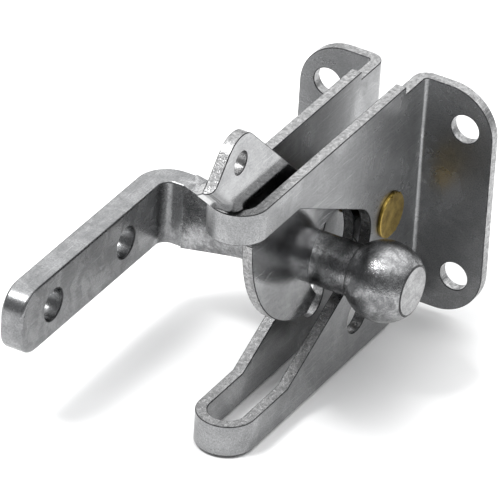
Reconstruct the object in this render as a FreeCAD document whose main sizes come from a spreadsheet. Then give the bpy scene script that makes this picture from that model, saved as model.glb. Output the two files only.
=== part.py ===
import FreeCAD, Part

import math
import os
import re

import Sketcher

# Automatic gate latch: a folded case that is screwed to the post, a pawl that drops
# between its cheeks, the rivet that the pawl swings on, and the ball-ended strike bar
# that the gate carries into the mouth.
# The frame's origin is on the post face, at the height of the pivot. +Z is up, +Y points
# into the post, and the mouth opens towards -Y. Every length is in millimetres.

SIZES = [
    # The case, one folded sheet
    ("sheet_thick", 2.8, "thickness of the case's sheet"),
    ("case_gap", 9.0, "clear width between the cheeks"),
    ("case_depth", 83.5, "post face to the front of the nose"),
    ("case_height", 65.0, "height of the cheeks"),
    ("flange_height", 61.0, "height of the flanges and their bends"),
    ("flange_reach", 25.7, "middle plane to a flange's outer edge"),
    ("flange_corner", 12.0, "corner radius of the flanges"),
    ("flange_bend", 1.0, "inside radius of the flange bends"),
    ("step_depth", 12.2, "post face to the step up to the full height"),
    ("screw_reach", 18.35, "middle plane to the screw holes"),
    ("screw_rise", 20.2, "pivot height to the screw holes"),
    ("screw_hole", 7.3, "diameter of the screw holes"),
    ("mouth_height", 49.0, "height of the mouth at the front"),
    ("mouth_slope", 27.65, "angle of the mouth's sloping edges, degrees"),
    ("seat_radius", 9.5, "radius of the round end of the mouth"),
    ("seat_depth", 34.65, "post face to the centre of the round end"),
    ("padlock_depth", 28.8, "post face to the padlock hole"),
    ("padlock_drop", 21.0, "pivot height down to the padlock hole"),
    ("padlock_hole", 9.5, "diameter of the padlock hole"),
    # The rivet
    ("pivot_depth", 16.3, "post face to the rivet's axis"),
    ("rivet_shank", 6.35, "diameter of the shank"),
    ("rivet_head", 11.4, "diameter of the factory head"),
    ("rivet_head_thick", 0.8, "thickness of the factory head"),
    ("rivet_tail", 9.6, "diameter of the closed end"),
    ("rivet_tail_thick", 1.4, "thickness of the closed end"),
    ("rivet_rim", 0.3, "rounding round the rivet's two ends"),
    ("rivet_fit", 0.03, "radial clearance of the rivet in the cheeks"),
    ("pivot_fit", 0.08, "radial running clearance of the pawl on the rivet"),
    # The pawl, one folded plate
    ("pawl_thick", 2.8, "thickness of the pawl's plate"),
    ("side_fit", 1.5, "clearance between the pawl and the right cheek"),
    ("cam_radius", 33.0, "radius of the rounded front edge that the bar pushes"),
    ("cam_depth", 41.1, "post face to the centre of the front edge"),
    ("cam_rise", 19.4, "pivot height to the centre of the front edge"),
    ("heel_depth", 45.7, "post face to the lowest end of the front edge"),
    ("toe_depth", 41.7, "post face to the tip of the toe"),
    ("toe_drop", 10.2, "pivot height down to the tip of the toe"),
    ("throat_radius", 10.5, "radius of the throat over the bar"),
    ("throat_depth", 35.8, "post face to the centre of the throat"),
    ("throat_drop", 1.6, "pivot height down to the centre of the throat"),
    ("throat_front", 3.2, "centre of the throat down to its front end"),
    ("throat_back", 2.5, "centre of the throat down to its back end"),
    ("eye_radius", 9.0, "radius of the plate around the rivet"),
    ("eye_slope", 62.4, "angle of the two edges that leave the round end, degrees"),
    ("neck_rise", 26.0, "pivot height to where the front edge meets the nose"),
    ("nose_fit", 0.5, "clearance between the pawl and the inside of the nose"),
    ("rest_fit", 0.3, "gap between the thumb tab and the rim that it rests on"),
    ("shoulder_depth", 53.2, "post face to the foot of the ear's back slope"),
    ("ear_hole_depth", 82.3, "post face to the hole in the ear"),
    ("ear_hole_rise", 46.2, "pivot height to the hole in the ear"),
    ("ear_hole", 5.6, "diameter of the hole in the ear"),
    ("ear_radius", 7.2, "radius of the ear's rounded top"),
    ("ear_slope", 43.3, "angle of the ear's back slope and of the thumb tab, degrees"),
    ("ear_front", 49.7, "angle of the ear's front slope, degrees"),
    ("tab_inset", 0.2, "front of the nose back to the foot of the thumb tab"),
    ("tab_length", 15.3, "length of the thumb tab along its slope"),
    ("tab_reach", 3.3, "middle plane to the free edge of the thumb tab"),
    ("tab_skew", 5.3, "how much shorter the free edge of the tab is than its fold"),
    ("tab_fold", 2.6, "outside radius of the fold at the thumb tab"),
    ("tab_corner", 2.0, "radius of the tab's free corner"),
    # The strike bar, one forging
    ("bar_dia", 12.7, "diameter of the round bar"),
    ("bar_depth", 36.1, "post face to the axis of the bar"),
    ("bar_fit", 0.05, "gap between the bar and the slope it lies on"),
    ("knob_dia", 19.4, "diameter of the ball end"),
    ("knob_reach", 17.5, "middle plane to the centre of the ball"),
    ("knob_end", 25.0, "middle plane to the flat on the ball"),
    ("strap_reach", 40.0, "middle plane to the inner face of the strap"),
    ("strap_thick", 6.0, "thickness of the strap"),
    ("strap_width", 17.2, "width of the strap"),
    ("strap_length", 66.0, "axis of the bar to the end of the strap"),
    ("strap_corner", 6.5, "corner radius of the strap's end"),
    ("strap_bend", 2.5, "inside radius of the strap's bend"),
    ("strap_edge", 0.8, "rounding along the strap's edges"),
    ("flat_run", 5.0, "inner face of the strap to where the flat starts to swell"),
    ("round_start", 19.0, "middle plane to where the bar is round"),
    ("strike_hole", 8.0, "diameter of the strap's screw holes"),
    ("strike_hole_near", 20.0, "axis of the bar to the first strap hole"),
    ("strike_hole_pitch", 32.2, "distance between the strap holes"),
]

doc = FreeCAD.newDocument("gate_latch")
sizes = doc.addObject("Spreadsheet::Sheet", "sizes")
for row, (alias, value, note) in enumerate(SIZES, start=1):
    sizes.set(f"A{row}", alias)
    sizes.set(f"B{row}", str(value))
    sizes.setAlias(f"B{row}", alias)
    sizes.set(f"C{row}", note)
doc.recompute()


def bound(text):
    """An expression in the sheet's names, with each name made a reference to its cell."""
    names = "|".join(alias for alias, value, note in SIZES)
    return re.sub(rf"\b({names})\b", r"sizes.\1", text)


def number(text):
    """The present value of an expression in the sheet's names."""
    return float(sizes.evalExpression(bound(text)))


def new_body(label):
    body = doc.addObject("PartDesign::Body", label)
    body.Label = label
    return body


def new_sketch(body, role, name, offset="0"):
    """A sketch on one of the body's own planes, moved along the plane's normal."""
    sketch = body.newObject("Sketcher::SketchObject", name)
    origin_plane = next(item for item in body.Origin.OriginFeatures if item.Role == role)
    sketch.AttachmentSupport = [(origin_plane, "")]
    sketch.MapMode = "FlatFace"
    sketch.setExpression("AttachmentOffset.Base.z", bound(offset))
    doc.recompute()
    return sketch


def set_size(sketch, text, *constraint):
    """A dimension whose value follows an expression in the sheet's names."""
    index = sketch.addConstraint(Sketcher.Constraint(*constraint, number(text)))
    sketch.setExpression(f"Constraints[{index}]", bound(text))


def pin(sketch, edge, end, across, along):
    """Ties one end of an edge to its two coordinates."""
    for kind, axis, text in (("DistanceX", -2, across), ("DistanceY", -1, along)):
        if text == "0":
            sketch.addConstraint(Sketcher.Constraint("PointOnObject", edge, end, axis))
        else:
            set_size(sketch, text, kind, edge, end)


def outline(sketch, corners):
    """A closed outline. A corner is (across, along), and a straight edge leaves it, or
    (across, along, radius, turn), and an arc leaves it, which turns left for 1, right for -1."""
    points = [FreeCAD.Vector(number(corner[0]), number(corner[1]), 0) for corner in corners]
    ends = []
    for start, end, corner in zip(points, points[1:] + points[:1], corners):
        if len(corner) == 2:
            edge = sketch.addGeometry(Part.LineSegment(start, end), False)
            ends.append((edge, 1, 2))
            continue
        radius, turn = number(corner[2]), corner[3]
        half_chord = (end - start) / 2
        left = FreeCAD.Vector(-half_chord.y, half_chord.x, 0).normalize()
        rise = math.sqrt(radius ** 2 - half_chord.Length ** 2)
        centre = start + half_chord + left * rise * turn
        first, last = (start, end) if turn > 0 else (end, start)
        angles = [math.atan2(point.y - centre.y, point.x - centre.x) for point in (first, last)]
        circle = Part.Circle(centre, FreeCAD.Vector(0, 0, 1), radius)
        edge = sketch.addGeometry(Part.ArcOfCircle(circle, *angles), False)
        set_size(sketch, corner[2], "Radius", edge)
        ends.append((edge, 1, 2) if turn > 0 else (edge, 2, 1))
    for (edge, start, end), (after, begin, _) in zip(ends, ends[1:] + ends[:1]):
        sketch.addConstraint(Sketcher.Constraint("Coincident", edge, end, after, begin))
    for (edge, start, end), corner in zip(ends, corners):
        pin(sketch, edge, start, corner[0], corner[1])


def circles(sketch, diameter, centres):
    """Circles of one diameter, at centres given as (across, along)."""
    for across, along in centres:
        middle = FreeCAD.Vector(number(across), number(along), 0)
        circle = Part.Circle(middle, FreeCAD.Vector(0, 0, 1), number(diameter) / 2)
        edge = sketch.addGeometry(circle, False)
        set_size(sketch, diameter, "Diameter", edge)
        pin(sketch, edge, 3, across, along)


def pad(body, name, sketch, length, symmetric=False):
    """Raises a sketch by a length along its normal, or half of it each way."""
    feature = body.newObject("PartDesign::Pad", name)
    feature.Profile = sketch
    feature.SideType = "Symmetric" if symmetric else "One side"
    feature.setExpression("Length", bound(length))
    doc.recompute()
    return feature


def pocket(body, name, sketch):
    """Cuts a sketch right through the body, both ways."""
    before = body.Shape.Volume
    feature = body.newObject("PartDesign::Pocket", name)
    feature.Profile = sketch
    feature.SideType = "Symmetric"
    feature.Type = "ThroughAll"
    doc.recompute()
    if not body.Shape.Volume < before:
        raise RuntimeError(f"{name} cuts nothing")
    return feature


def fillet(body, name, radius, chosen):
    """Rounds the edges of the body's last feature that the test picks."""
    base = body.Tip
    names = [f"Edge{k}" for k, edge in enumerate(base.Shape.Edges, start=1) if chosen(edge)]
    feature = body.newObject("PartDesign::Fillet", name)
    feature.Base = (base, names)
    feature.setExpression("Radius", bound(radius))
    doc.recompute()
    return feature


def runs_along(edge, axis):
    """True for a straight edge along the axis x, y or z."""
    if edge.Curve.TypeId != "Part::GeomLine":
        return False
    return abs(getattr(edge.Curve.Direction, axis)) > 0.999


def near(value, text, slack=0.01):
    return abs(value - number(text)) < slack


# The case: one sheet folded round the nose into two cheeks, with a flange turned out at
# the back of each. The mouth is cut through the nose and both cheeks.
cheek = "( case_gap / 2 + sheet_thick )"
nose_centre = "( case_depth - case_gap / 2 - sheet_thick )"

case = new_body("latch_case")
plan = new_sketch(case, "XY_Plane", "cheek_plan")
outline(plan, [
    (cheek, "- step_depth"),
    ("case_gap / 2", "- step_depth"),
    ("case_gap / 2", f"- {nose_centre}", "case_gap / 2", -1),
    ("0", f"- {nose_centre} - case_gap / 2", "case_gap / 2", -1),
    ("- case_gap / 2", f"- {nose_centre}"),
    ("- case_gap / 2", "- step_depth"),
    (f"- {cheek}", "- step_depth"),
    (f"- {cheek}", f"- {nose_centre}", cheek, 1),
    ("0", "- case_depth", cheek, 1),
    (cheek, f"- {nose_centre}"),
])
pad(case, "cheeks", plan, "case_height", symmetric=True)

for side, sign in (("right", ""), ("left", "- ")):
    plan = new_sketch(case, "XY_Plane", f"{side}_flange_plan")
    corners = [
        (f"{sign}flange_reach", "0"),
        (f"{sign}case_gap / 2", "0"),
        (f"{sign}case_gap / 2", "- step_depth"),
        (f"{sign}{cheek}", "- step_depth"),
        (f"{sign}{cheek}", "- sheet_thick"),
        (f"{sign}flange_reach", "- sheet_thick"),
    ]
    outline(plan, corners)
    pad(case, f"{side}_flange", plan, "flange_height", symmetric=True)

fillet(case, "inner_bends", "flange_bend", lambda edge: (
    runs_along(edge, "z") and near(abs(edge.CenterOfMass.x), cheek)
    and near(edge.CenterOfMass.y, "- sheet_thick")))
fillet(case, "outer_bends", "flange_bend + sheet_thick", lambda edge: (
    runs_along(edge, "z") and near(abs(edge.CenterOfMass.x), "case_gap / 2")
    and near(edge.CenterOfMass.y, "0")))
fillet(case, "flange_corners", "flange_corner", lambda edge: (
    runs_along(edge, "y") and near(abs(edge.CenterOfMass.x), "flange_reach")))

mouth = new_sketch(case, "YZ_Plane", "mouth_outline")
round_y = "( - seat_depth + seat_radius * sin(mouth_slope) )"
round_z = "( seat_radius * cos(mouth_slope) )"
break_y = f"( {round_y} - ( mouth_height / 2 - {round_z} ) / tan(mouth_slope) )"
mouth_front = "( - case_depth - sheet_thick )"
outline(mouth, [
    (mouth_front, "mouth_height / 2"),
    (mouth_front, "- mouth_height / 2"),
    (break_y, "- mouth_height / 2"),
    (round_y, f"- {round_z}", "seat_radius", 1),
    ("- seat_depth + seat_radius", "0", "seat_radius", 1),
    (round_y, round_z),
    (break_y, "mouth_height / 2"),
])
pocket(case, "mouth", mouth)

holes = new_sketch(case, "XZ_Plane", "screw_hole_outline")
circles(holes, "screw_hole", [(f"{across}screw_reach", f"{along}screw_rise")
                              for across in ("", "- ") for along in ("", "- ")])
pocket(case, "screw_holes", holes)
holes = new_sketch(case, "YZ_Plane", "padlock_hole_outline")
circles(holes, "padlock_hole", [("- padlock_depth", "- padlock_drop")])
pocket(case, "padlock_holes", holes)
holes = new_sketch(case, "YZ_Plane", "rivet_hole_outline")
circles(holes, "rivet_shank + 2 * rivet_fit", [("- pivot_depth", "0")])
pocket(case, "rivet_holes", holes)

# The rivet: a flat factory head on the right cheek, a shank through both cheeks and the
# pawl, and a smaller closed end on the left cheek.
rivet = new_body("pivot_rivet")
rivet.setExpression("Placement.Base.y", bound("- pivot_depth"))
half = new_sketch(rivet, "XZ_Plane", "rivet_half")
outline(half, [
    (f"- {cheek} - rivet_tail_thick", "0"),
    (f"{cheek} + rivet_head_thick", "0"),
    (f"{cheek} + rivet_head_thick", "rivet_head / 2"),
    (cheek, "rivet_head / 2"),
    (cheek, "rivet_shank / 2"),
    (f"- {cheek}", "rivet_shank / 2"),
    (f"- {cheek}", "rivet_tail / 2"),
    (f"- {cheek} - rivet_tail_thick", "rivet_tail / 2"),
])
turned = rivet.newObject("PartDesign::Revolution", "rivet_turned")
turned.Profile = half
turned.ReferenceAxis = (half, ["H_Axis"])
turned.Angle = 360
doc.recompute()
fillet(rivet, "head_rims", "rivet_rim", lambda edge: (
    edge.Length > 2 * number("rivet_tail")
    and abs(edge.CenterOfMass.x) > number(f"{cheek} + rivet_tail_thick / 2")))

# The pawl: one plate that hangs between the cheeks, nearer the right one. Its hook drops
# over the bar, its ear stands up out of the case, and its front edge is folded over into
# a thumb tab that comes to rest on the rim of the nose.
inside = "( case_gap / 2 - side_fit )"
heel_z = "( cam_rise - sqrt( cam_radius ^ 2 - ( heel_depth - cam_depth ) ^ 2 ) )"
throat_left = "( - throat_depth - sqrt( throat_radius ^ 2 - throat_front ^ 2 ) )"
throat_right = "( - throat_depth + sqrt( throat_radius ^ 2 - throat_back ^ 2 ) )"
eye_across = "( eye_radius * sin(eye_slope) )"
eye_along = "( eye_radius * cos(eye_slope) )"
nose_inside = f"( - {nose_centre} - sqrt( ( case_gap / 2 ) ^ 2 - {inside} ^ 2 ) + nose_fit )"
rim = "( case_height / 2 + rest_fit )"
tab_foot = "( - case_depth + tab_inset )"
tab_top_y = f"( {tab_foot} - tab_length * cos(ear_slope) )"
tab_top_z = f"( {rim} + tab_length * sin(ear_slope) )"
back_y = "( - ear_hole_depth + ear_radius * sin(ear_slope) )"
back_z = "( ear_hole_rise + ear_radius * cos(ear_slope) )"

pawl = new_body("pawl")
blank = new_sketch(pawl, "YZ_Plane", "pawl_outline", f"{inside} - pawl_thick")
outline(blank, [
    (tab_foot, rim),
    (nose_inside, rim),
    (nose_inside, "neck_rise"),
    ("- cam_depth - cam_radius", "cam_rise", "cam_radius", 1),
    ("- heel_depth", heel_z),
    ("- toe_depth", "- toe_drop"),
    (throat_left, "- throat_drop - throat_front", "throat_radius", -1),
    ("- throat_depth", "throat_radius - throat_drop", "throat_radius", -1),
    (throat_right, "- throat_drop - throat_back"),
    (f"- pivot_depth - {eye_across}", f"- {eye_along}", "eye_radius", 1),
    ("- pivot_depth", "- eye_radius", "eye_radius", 1),
    ("- pivot_depth + eye_radius", "0", "eye_radius", 1),
    (f"- pivot_depth + {eye_along}", eye_across),
    ("- shoulder_depth", f"{back_z} - ( - shoulder_depth - {back_y} ) * tan(ear_slope)"),
    (back_y, back_z, "ear_radius", 1),
    ("- ear_hole_depth", "ear_hole_rise + ear_radius", "ear_radius", 1),
    ("- ear_hole_depth - ear_radius * sin(ear_front)", "ear_hole_rise + ear_radius * cos(ear_front)"),
    (f"{tab_top_y} + pawl_thick * sin(ear_slope)", f"{tab_top_z} + pawl_thick * cos(ear_slope)"),
    (tab_top_y, tab_top_z),
])
pad(pawl, "blank", blank, "pawl_thick")

tab = new_sketch(pawl, "XY_Plane", "tab_outline", rim)
slope =FreeCAD.Rotation(FreeCAD.Vector(1, 0, 0), -number("ear_slope"))
tab.AttachmentOffset = FreeCAD.Placement(FreeCAD.Vector(0, number(tab_foot), number(rim)), slope)
tab.setExpression("AttachmentOffset.Base.y", bound(tab_foot))
tab.setExpression("AttachmentOffset.Rotation.Angle", bound("ear_slope"))
tab.setExpression("AttachmentOffset.Rotation.Axis.x", "-1")
doc.recompute()
outline(tab, [
    (inside, "0"),
    ("- tab_reach", "0"),
    ("- tab_reach", "- tab_length + tab_skew"),
    (f"{inside} - pawl_thick", "- tab_length"),
    (inside, "- tab_length"),
])
pad(pawl, "thumb_tab", tab, "pawl_thick")


def along_tab(edge):
    """True for a straight edge that runs up the thumb tab."""
    if edge.Curve.TypeId != "Part::GeomLine":
        return False
    run = edge.Curve.Direction
    return abs(run.x) < 0.001 and near(abs(run.z), "sin(ear_slope)") and run.y * run.z < 0


fillet(pawl, "tab_outer_fold", "tab_fold", lambda edge: (
    along_tab(edge) and near(edge.CenterOfMass.x, inside) and edge.CenterOfMass.y < number(tab_foot)
    and edge.CenterOfMass.z < number("ear_hole_rise - ear_radius")))
fillet(pawl, "tab_free_corner", "tab_corner", lambda edge: (
    edge.Curve.TypeId == "Part::GeomLine" and near(edge.CenterOfMass.x, "- tab_reach")
    and near(edge.Length, "pawl_thick") and edge.CenterOfMass.z > number(f"{rim} + pawl_thick")))

holes = new_sketch(pawl, "YZ_Plane", "pawl_rivet_hole_outline")
circles(holes, "rivet_shank + 2 * pivot_fit", [("- pivot_depth", "0")])
pocket(pawl, "pawl_rivet_hole", holes)
holes = new_sketch(pawl, "YZ_Plane", "ear_hole_outline")
circles(holes, "ear_hole", [("- ear_hole_depth", "ear_hole_rise")])
pocket(pawl, "ear_hole_cut", holes)

# The strike bar: one forging. A flat strap with two screw holes turns a square corner,
# swells into a round bar and ends in a ball with a flat on it. Its frame is on the bar.
bar = "( bar_dia / 2 )"
bar_rise = (f"( ( {bar} + bar_fit - seat_radius + sin(mouth_slope) * ( seat_depth - bar_depth ) )"
            " / cos(mouth_slope) )")
flat_end = "( strap_reach - flat_run )"
knob_flat = "sqrt( ( knob_dia / 2 ) ^ 2 - ( knob_end - knob_reach ) ^ 2 )"
knob_neck = f"( knob_reach - sqrt( ( knob_dia / 2 ) ^ 2 - {bar} ^ 2 ) )"

strike = new_body("strike_bar")
strike.setExpression("Placement.Base.y", bound("- bar_depth"))
strike.setExpression("Placement.Base.z", bound(bar_rise))
plan = new_sketch(strike, "XY_Plane", "strap_plan")
outline(plan, [
    ("- strap_reach", "- strap_length"),
    ("- strap_reach", "- strap_thick / 2"),
    (f"- {flat_end}", "- strap_thick / 2"),
    (f"- {flat_end}", "strap_thick / 2"),
    ("- strap_reach - strap_thick", "strap_thick / 2"),
    ("- strap_reach - strap_thick", "- strap_length"),
])
pad(strike, "strap", plan, "strap_width", symmetric=True)
fillet(strike, "strap_end", "strap_corner", lambda edge: (
    runs_along(edge, "x") and near(edge.CenterOfMass.y, "- strap_length")))
fillet(strike, "bend_inside", "strap_bend", lambda edge: (
    runs_along(edge, "z") and near(edge.CenterOfMass.x, "- strap_reach")
    and near(edge.CenterOfMass.y, "- strap_thick / 2")))
fillet(strike, "bend_outside", "strap_bend + strap_thick", lambda edge: (
    runs_along(edge, "z") and near(edge.CenterOfMass.x, "- strap_reach - strap_thick")
    and near(edge.CenterOfMass.y, "strap_thick / 2")))
fillet(strike, "strap_edges", "strap_edge", lambda edge: (
    edge.BoundBox.XMax < number(f"- {flat_end} - strap_edge")
    and abs(abs(edge.CenterOfMass.z) - number("strap_width / 2")) < number("strap_corner")))

flat = new_sketch(strike, "YZ_Plane", "flat_section", f"- {flat_end}")
outline(flat, [
    ("strap_thick / 2", "- strap_width / 2"),
    ("strap_thick / 2", "strap_width / 2"),
    ("- strap_thick / 2", "strap_width / 2"),
    ("- strap_thick / 2", "- strap_width / 2"),
])
full = new_sketch(strike, "YZ_Plane", "round_section", "- round_start")
square = "( bar_dia * sqrt( 1 / 8 ) )"
outline(full, [
    (square, f"- {square}", bar, 1),
    (square, square, bar, 1),
    (f"- {square}", square, bar, 1),
    (f"- {square}", f"- {square}", bar, 1),
])
swell = strike.newObject("PartDesign::AdditiveLoft", "swell")
swell.Profile = flat
swell.Sections = [full]
swell.Ruled = True
doc.recompute()

half = new_sketch(strike, "XZ_Plane", "bar_half")
outline(half, [
    ("- round_start", "0"),
    ("knob_end", "0"),
    ("knob_end", knob_flat, "knob_dia / 2", 1),
    ("knob_reach", "knob_dia / 2", "knob_dia / 2", 1),
    (knob_neck, bar),
    ("- round_start", bar),
])
turned = strike.newObject("PartDesign::Revolution", "bar_and_ball")
turned.Profile = half
turned.ReferenceAxis = (half, ["H_Axis"])
turned.Angle = 360
doc.recompute()

holes = new_sketch(strike, "YZ_Plane", "strap_hole_outline")
circles(holes, "strike_hole", [("- strike_hole_near", "0"),
                               ("- strike_hole_near - strike_hole_pitch", "0")])
pocket(strike, "strap_holes", holes)

doc.recompute()
parts = [case, rivet, pawl, strike]
for item in doc.Objects:
    if "Invalid" in item.State or "Error" in item.State:
        raise RuntimeError(f"{item.Name} failed: {item.State}")
os.makedirs("parts", exist_ok=True)
for part in parts:
    shape = part.Shape
    if shape.isNull() or not shape.isValid() or len(shape.Solids) != 1:
        raise RuntimeError(f"{part.Label} is not one valid solid")
for part in parts:
    part.Shape.exportStep(f"parts/{part.Label}.step")
    print(part.Label, "has", round(part.Shape.Volume), "cubic millimetres")
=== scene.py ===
import math

import bmesh
import bpy
from mathutils import Matrix, Vector


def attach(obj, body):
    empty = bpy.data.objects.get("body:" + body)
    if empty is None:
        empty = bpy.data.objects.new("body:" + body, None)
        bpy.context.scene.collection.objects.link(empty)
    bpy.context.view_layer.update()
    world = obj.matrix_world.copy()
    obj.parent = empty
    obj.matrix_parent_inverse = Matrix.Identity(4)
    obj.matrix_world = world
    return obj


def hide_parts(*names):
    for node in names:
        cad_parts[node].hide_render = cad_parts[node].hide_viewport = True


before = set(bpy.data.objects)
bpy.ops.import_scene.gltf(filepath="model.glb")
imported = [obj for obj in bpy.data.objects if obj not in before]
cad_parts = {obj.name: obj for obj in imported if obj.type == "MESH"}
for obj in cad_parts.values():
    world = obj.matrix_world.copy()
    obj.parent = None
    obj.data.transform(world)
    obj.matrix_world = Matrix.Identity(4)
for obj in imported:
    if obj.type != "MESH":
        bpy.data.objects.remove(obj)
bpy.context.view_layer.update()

# The case: one strip of 2.8 mm steel, blanked, pierced and folded round the nose, with a
# flange turned out at the back of each cheek, then bright zinc plated. Its faces are satin
# and lightly scratched, and its sheared edges are brighter and grainy.
MM = 0.001


def merged_copy(node):
    """The CAD node's triangles merged into whole faces, in a mesh that can be worked on."""
    work = bmesh.new()
    work.from_mesh(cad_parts[node].data)
    bmesh.ops.remove_doubles(work, verts=work.verts, dist=0.001 * MM)
    bmesh.ops.dissolve_limit(work, angle_limit=math.radians(0.05), verts=work.verts,
                             edges=work.edges, delimit=set())
    work.faces.ensure_lookup_table()
    return work


def finished_piece(name, work, finishes, edge_width, edge_slot, broken=lambda middle: True):
    """The piece's object. Corners whose middle, in mm, passes the test are broken by edge_width
    and take the material numbered edge_slot, a near-black painted shade, or their own faces' finish
    with -1."""
    least_corner = math.radians(28)
    weight = work.edges.layers.float.new("bevel_weight_edge")
    for edge in work.edges:
        edge.smooth = len(edge.link_faces) == 2 and edge.calc_face_angle(0) < least_corner
        middle = (edge.verts[0].co + edge.verts[1].co) / (2 * MM)
        edge[weight] = 1.0 if not edge.smooth and broken(middle) else 0.0
    for face in work.faces:
        face.smooth = True
    mesh = bpy.data.meshes.new(name)
    work.to_mesh(mesh)
    work.free()
    piece = bpy.data.objects.new(name, mesh)
    bpy.context.scene.collection.objects.link(piece)
    for finish in finishes:
        mesh.materials.append(finish)
    corners = piece.modifiers.new("broken_corners", "BEVEL")
    corners.width = edge_width
    corners.segments = 3
    corners.limit_method = "WEIGHT"
    corners.use_clamp_overlap = False
    corners.material = edge_slot
    even = piece.modifiers.new("even_faces", "WEIGHTED_NORMAL")
    even.mode = "FACE_AREA"
    even.weight = 80
    even.keep_sharp = True
    return piece


def node_maker(name):
    """A new material, its principled shader, and short ways to add nodes and join them."""
    finish = bpy.data.materials.new(name)
    finish.use_nodes = True
    tree = finish.node_tree
    shader = tree.nodes["Principled BSDF"]

    def add(kind, **settings):
        node = tree.nodes.new(kind)
        for key, value in settings.items():
            if hasattr(node, key):
                setattr(node, key, value)
            else:
                node.inputs[key.replace("_", " ")].default_value = value
        return node

    def join(source, target):
        tree.links.new(source, target)

    return finish, shader, add, join


def zinc(name, dull, bright, rough, blotch_size, skin_size, skin_depth, scratch_depth, turn):
    """Zinc plate over steel: broad blotches, a fine skin, and three sets of crossing
    scratches. Sizes and depths are in mm, and turn is the first set's angle in degrees."""
    finish, shader, add, join = node_maker(name)
    shader.inputs["Metallic"].default_value = 1.0
    place = add("ShaderNodeTexCoord").outputs["Object"]

    blotch = add("ShaderNodeTexNoise", Scale=1 / (blotch_size * MM), Detail=5.0, Roughness=0.62,
                 Distortion=0.6)
    join(place, blotch.inputs["Vector"])
    skin = add("ShaderNodeTexNoise", Scale=1 / (skin_size * MM), Detail=7.0, Roughness=0.7)
    join(place, skin.inputs["Vector"])

    scratches = None
    scratch_length = 9 * MM
    for angle, width, shift in ((turn, 0.16, 0.0), (turn + 67, 0.21, 3.7), (turn - 31, 0.13, 8.1)):
        width *= MM
        lay = add("ShaderNodeMapping")
        lay.inputs["Rotation"].default_value = [math.radians(share * angle) for share in (1, 0.6, 0.4)]
        lay.inputs["Location"].default_value = (shift, shift, shift)
        lay.inputs["Scale"].default_value = (1 / width, 1 / scratch_length, 1 / (1.3 * width))
        join(place, lay.inputs["Vector"])
        lines = add("ShaderNodeTexNoise", Scale=1.0, Detail=2.0, Roughness=0.5)
        join(lay.outputs["Vector"], lines.inputs["Vector"])
        thin = add("ShaderNodeMapRange", interpolation_type="SMOOTHSTEP")
        thin.inputs["From Min"].default_value = 0.62
        thin.inputs["From Max"].default_value = 0.76
        join(lines.outputs["Fac"], thin.inputs["Value"])
        if scratches is None:
            scratches = thin.outputs["Result"]
        else:
            both = add("ShaderNodeMath", operation="MAXIMUM")
            join(scratches, both.inputs[0])
            join(thin.outputs["Result"], both.inputs[1])
            scratches = both.outputs["Value"]

    spread = add("ShaderNodeMapRange", interpolation_type="SMOOTHSTEP")
    spread.inputs["From Min"].default_value = 0.36
    spread.inputs["From Max"].default_value = 0.66
    join(blotch.outputs["Fac"], spread.inputs["Value"])
    ground = add("ShaderNodeMix", data_type="RGBA")
    ground.inputs["A"].default_value = (*dull, 1.0)
    ground.inputs["B"].default_value = (*bright, 1.0)
    join(spread.outputs["Result"], ground.inputs["Factor"])
    speck = add("ShaderNodeMapRange")
    speck.inputs["From Min"].default_value = 0.3
    speck.inputs["From Max"].default_value = 0.7
    speck.inputs["To Min"].default_value = 0.0
    speck.inputs["To Max"].default_value = 0.9
    join(skin.outputs["Fac"], speck.inputs["Value"])
    speckled = add("ShaderNodeMix", data_type="RGBA", blend_type="MULTIPLY")
    speckled.inputs["B"].default_value = (0.42, 0.42, 0.43, 1.0)
    join(speck.outputs["Result"], speckled.inputs["Factor"])
    join(ground.outputs["Result"], speckled.inputs["A"])
    scratched = add("ShaderNodeMix", data_type="RGBA")
    scratched.inputs["B"].default_value = [min(1.6 * part, 0.9) for part in bright] + [1.0]
    faint = add("ShaderNodeMath", operation="MULTIPLY")
    faint.inputs[1].default_value = 0.35
    join(scratches, faint.inputs[0])
    join(faint.outputs["Value"], scratched.inputs["Factor"])
    join(speckled.outputs["Result"], scratched.inputs["A"])
    join(scratched.outputs["Result"], shader.inputs["Base Color"])

    dulled = add("ShaderNodeMapRange")
    dulled.inputs["To Min"].default_value = rough + 0.04
    dulled.inputs["To Max"].default_value = rough - 0.04
    join(spread.outputs["Result"], dulled.inputs["Value"])
    gritty = add("ShaderNodeMath", operation="MULTIPLY_ADD")
    gritty.inputs[1].default_value = 0.10
    join(skin.outputs["Fac"], gritty.inputs[0])
    join(dulled.outputs["Result"], gritty.inputs[2])
    join(gritty.outputs["Value"], shader.inputs["Roughness"])

    pits = add("ShaderNodeBump", Strength=1.0, Distance=skin_depth * MM)
    join(skin.outputs["Fac"], pits.inputs["Height"])
    cuts = add("ShaderNodeBump", Strength=1.0, Distance=scratch_depth * MM, invert=True)
    join(scratches, cuts.inputs["Height"])
    join(pits.outputs["Normal"], cuts.inputs["Normal"])
    join(cuts.outputs["Normal"], shader.inputs["Normal"])
    return finish


sheet_zinc = zinc("case_zinc", dull=(0.29, 0.293, 0.296), bright=(0.40, 0.403, 0.406), rough=0.25,
                  blotch_size=11, skin_size=0.35, skin_depth=0.006, scratch_depth=0.005, turn=12)
sheared_zinc = zinc("sheared_zinc", dull=(0.27, 0.27, 0.27), bright=(0.50, 0.50, 0.50), rough=0.24,
                    blotch_size=0.9, skin_size=0.3, skin_depth=0.05, scratch_depth=0.01, turn=80)
# Painted shade: a near-black finish for the broken corners, so that every edge shows a dark outline.
painted_shade_corners = zinc("painted_shade_corners", dull=(0.04, 0.04, 0.042), bright=(0.10, 0.10, 0.102), rough=0.36,
                   blotch_size=1.4, skin_size=0.3, skin_depth=0.02, scratch_depth=0.01, turn=40)

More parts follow.
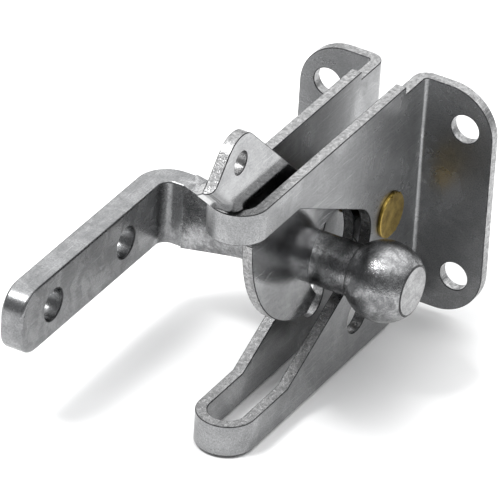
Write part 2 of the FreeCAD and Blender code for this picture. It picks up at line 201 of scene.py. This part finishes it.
case_work = merged_copy("latch_case")
cheek_outside = 8.0
bend_outside = 9.0
flange_front = -3.0
bends_front = -4.2
nose_back = -76.0
for face in case_work.faces:
    middle = face.calc_center_median() / MM
    turned = face.normal
    on_cheek = abs(turned.x) > 0.999 and abs(middle.x) < cheek_outside
    on_flange = abs(turned.y) > 0.999 and middle.y > flange_front
    upright = abs(turned.z) < 0.001 and abs(middle.x) < bend_outside
    on_bend = upright and (middle.y > bends_front or middle.y < nose_back)
    face.material_index = 0 if on_cheek or on_flange or on_bend else 1
# The case's broken corners take slot 2, the near-black painted shade, as dark outlines.
case = finished_piece("case_folding", case_work, [sheet_zinc, sheared_zinc, painted_shade_corners],
                      edge_width=0.2 * MM, edge_slot=2)
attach(case, "case")
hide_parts("latch_case")

# The pivot rivet: a headed pin through both cheeks and the pawl, closed over at the far
# cheek. It is yellow zinc plated steel, with a flat satin head and a small broken rim.
yellow, shader, add, join = node_maker("rivet_yellow_zinc")
shader.inputs["Metallic"].default_value = 1.0
place = add("ShaderNodeTexCoord").outputs["Object"]
stain = add("ShaderNodeTexNoise", Scale=1 / (2.6 * MM), Detail=5.0, Roughness=0.65)
join(place, stain.inputs["Vector"])
tint = add("ShaderNodeValToRGB")
tint.color_ramp.elements[0].position = 0.32
tint.color_ramp.elements[0].color = (0.30, 0.20, 0.035, 1.0)
tint.color_ramp.elements[1].position = 0.70
tint.color_ramp.elements[1].color = (0.78, 0.58, 0.17, 1.0)
join(stain.outputs["Fac"], tint.inputs["Fac"])
grain = add("ShaderNodeTexNoise", Scale=1 / (0.22 * MM), Detail=6.0, Roughness=0.7)
join(place, grain.inputs["Vector"])
grained = add("ShaderNodeMix", data_type="RGBA", blend_type="MULTIPLY")
grained.inputs["B"].default_value = (0.55, 0.5, 0.42, 1.0)
join(grain.outputs["Fac"], grained.inputs["Factor"])
join(tint.outputs["Color"], grained.inputs["A"])
join(grained.outputs["Result"], shader.inputs["Base Color"])
satin = add("ShaderNodeMapRange")
satin.inputs["To Min"].default_value = 0.18
satin.inputs["To Max"].default_value = 0.42
join(grain.outputs["Fac"], satin.inputs["Value"])
join(satin.outputs["Result"], shader.inputs["Roughness"])
dents = add("ShaderNodeBump", Strength=1.0, Distance=0.04 * MM)
join(grain.outputs["Fac"], dents.inputs["Height"])
join(dents.outputs["Normal"], shader.inputs["Normal"])

rivet = finished_piece("pivot_rivet_turned", merged_copy("pivot_rivet"), [yellow],
                       edge_width=0.12 * MM, edge_slot=-1)
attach(rivet, "case")
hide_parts("pivot_rivet")

# The pawl: one 2.8 mm plate, blanked with its hook, eye and ear, its front edge folded over
# into a thumb tab. It is zinc plated like the case, and its flat face is smooth as a mirror.
pawl_zinc = zinc("pawl_zinc", dull=(0.36, 0.363, 0.366), bright=(0.47, 0.473, 0.476), rough=0.08,
                 blotch_size=12, skin_size=0.35, skin_depth=0.004, scratch_depth=0.003, turn=35)
pawl_work = merged_copy("pawl")
tab_slope = math.radians(43.3)
tab_normal = Vector((0, math.sin(tab_slope), math.cos(tab_slope)))
tab_edge_back = -80.0
tab_back = -84.0
for face in pawl_work.faces:
    middle = face.calc_center_median() / MM
    turned = face.normal
    tab_edge = middle.y < tab_edge_back and middle.x < 0
    plate_side = abs(turned.x) > 0.999 and not tab_edge
    tab_side = abs(turned.dot(tab_normal)) > 0.999 and middle.y < tab_back
    fold = 0.01 < turned.x < 0.999 and middle.y < tab_back
    face.material_index = 0 if plate_side or tab_side or fold else 1
# The pawl's broken corners take slot 2, the near-black painted shade, as dark outlines.
pawl = finished_piece("pawl_folding", pawl_work, [pawl_zinc, sheared_zinc, painted_shade_corners],
                      edge_width=0.2 * MM, edge_slot=2)
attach(pawl, "pawl")
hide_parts("pawl")

# The strike bar: one forging, a flat strap with two screw holes, turned square into a round
# bar that ends in a ball with a cut flat. Its zinc lies on a coarse forged skin.
forged_zinc = zinc("forged_zinc", dull=(0.22, 0.222, 0.225), bright=(0.46, 0.463, 0.466), rough=0.17,
                   blotch_size=2.8, skin_size=0.55, skin_depth=0.085, scratch_depth=0.003, turn=55)
rubbed_zinc = zinc("rubbed_zinc", dull=(0.36, 0.36, 0.36), bright=(0.48, 0.48, 0.48), rough=0.34,
                   blotch_size=3, skin_size=0.5, skin_depth=0.03, scratch_depth=0.01, turn=20)
strap_zinc = zinc("strap_zinc", dull=(0.26, 0.263, 0.266), bright=(0.36, 0.363, 0.366), rough=0.22,
                  blotch_size=5, skin_size=0.4, skin_depth=0.02, scratch_depth=0.005, turn=70)
strike_work = merged_copy("strike_bar")
ball_flat = 24.9
strap_side = -39.9
swell_start = -35.1
for face in strike_work.faces:
    along = face.calc_center_median().x / MM
    face.material_index = 1 if along > ball_flat else 3 if along < swell_start else 0
# The broken corners of the ball's flat and the strap take slot 2, the near-black painted shade, as
# dark outlines.
strike = finished_piece("strike_forging", strike_work,
                        [forged_zinc, rubbed_zinc, painted_shade_corners, strap_zinc],
                        edge_width=0.3 * MM, edge_slot=2,
                        broken=lambda middle: middle.x > ball_flat or middle.x < strap_side)
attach(strike, "case")
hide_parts("strike_bar")

# The studio: a white paper floor under the latch, a wide soft light over it and a small one to its
# front and left, and the long lens that the photograph was taken with.
floor_height = -33.2 * MM
floor_mesh = bpy.data.meshes.new("floor")
floor_work = bmesh.new()
bmesh.ops.create_grid(floor_work, x_segments=1, y_segments=1, size=6.0,
                      matrix=Matrix.Translation((0, 0, floor_height)))
floor_work.to_mesh(floor_mesh)
floor_work.free()
floor = bpy.data.objects.new("floor", floor_mesh)
bpy.context.scene.collection.objects.link(floor)
paper, shader = node_maker("white_paper")[:2]
shader.inputs["Base Color"].default_value = (0.92, 0.92, 0.92, 1.0)
shader.inputs["Roughness"].default_value = 0.9
shader.inputs["Specular IOR Level"].default_value = 0.1
floor_mesh.materials.append(paper)

sky = bpy.data.worlds.new("studio")
sky.use_nodes = True
sky.node_tree.nodes["Background"].inputs["Color"].default_value = (0.97, 0.985, 1.0, 1.0)
sky.node_tree.nodes["Background"].inputs["Strength"].default_value = 0.36
bpy.context.scene.world = sky

latch_middle = Vector((-0.02, -0.03, -0.01))
for name, where, size, power in (
    ("overhead", Vector((-0.1, 0.5, 1.5)), 4.2, 84.0),
    ("key_panel", Vector((-0.45, -0.6, 1.25)), 0.30, 12.0),
):
    lamp = bpy.data.lights.new(name, "AREA")
    lamp.shape = "SQUARE"
    lamp.size = size
    lamp.energy = power
    panel = bpy.data.objects.new(name, lamp)
    panel.location = where
    panel.rotation_euler = (latch_middle - where).to_track_quat("-Z", "Y").to_euler()
    bpy.context.scene.collection.objects.link(panel)

lens = bpy.data.cameras.new("long_lens")
lens.sensor_width = 36.0
lens.lens = 575.02
lens.clip_end = 20.0
camera = bpy.data.objects.new("camera", lens)
bpy.context.scene.collection.objects.link(camera)
picture_middle = Vector((-21.43, -30.0, -13.22)) * MM
distance = 1863.98
bearing, height, tilt = (math.radians(angle) for angle in (28.25, 32.43, 3.6))
looking = Vector((-math.sin(bearing) * math.cos(height), math.cos(bearing) * math.cos(height),
                  -math.sin(height)))
level = Vector((math.cos(bearing), math.sin(bearing), 0))
upward = level.cross(looking)
right = math.cos(tilt) * level + math.sin(tilt) * upward
above = -math.sin(tilt) * level + math.cos(tilt) * upward
turn = Matrix((right, above, -looking)).transposed().to_4x4()
camera.matrix_world = Matrix.Translation(picture_middle - looking * distance * MM) @ turn
bpy.context.scene.camera = camera
bpy.context.scene.view_settings.view_transform = "Standard"
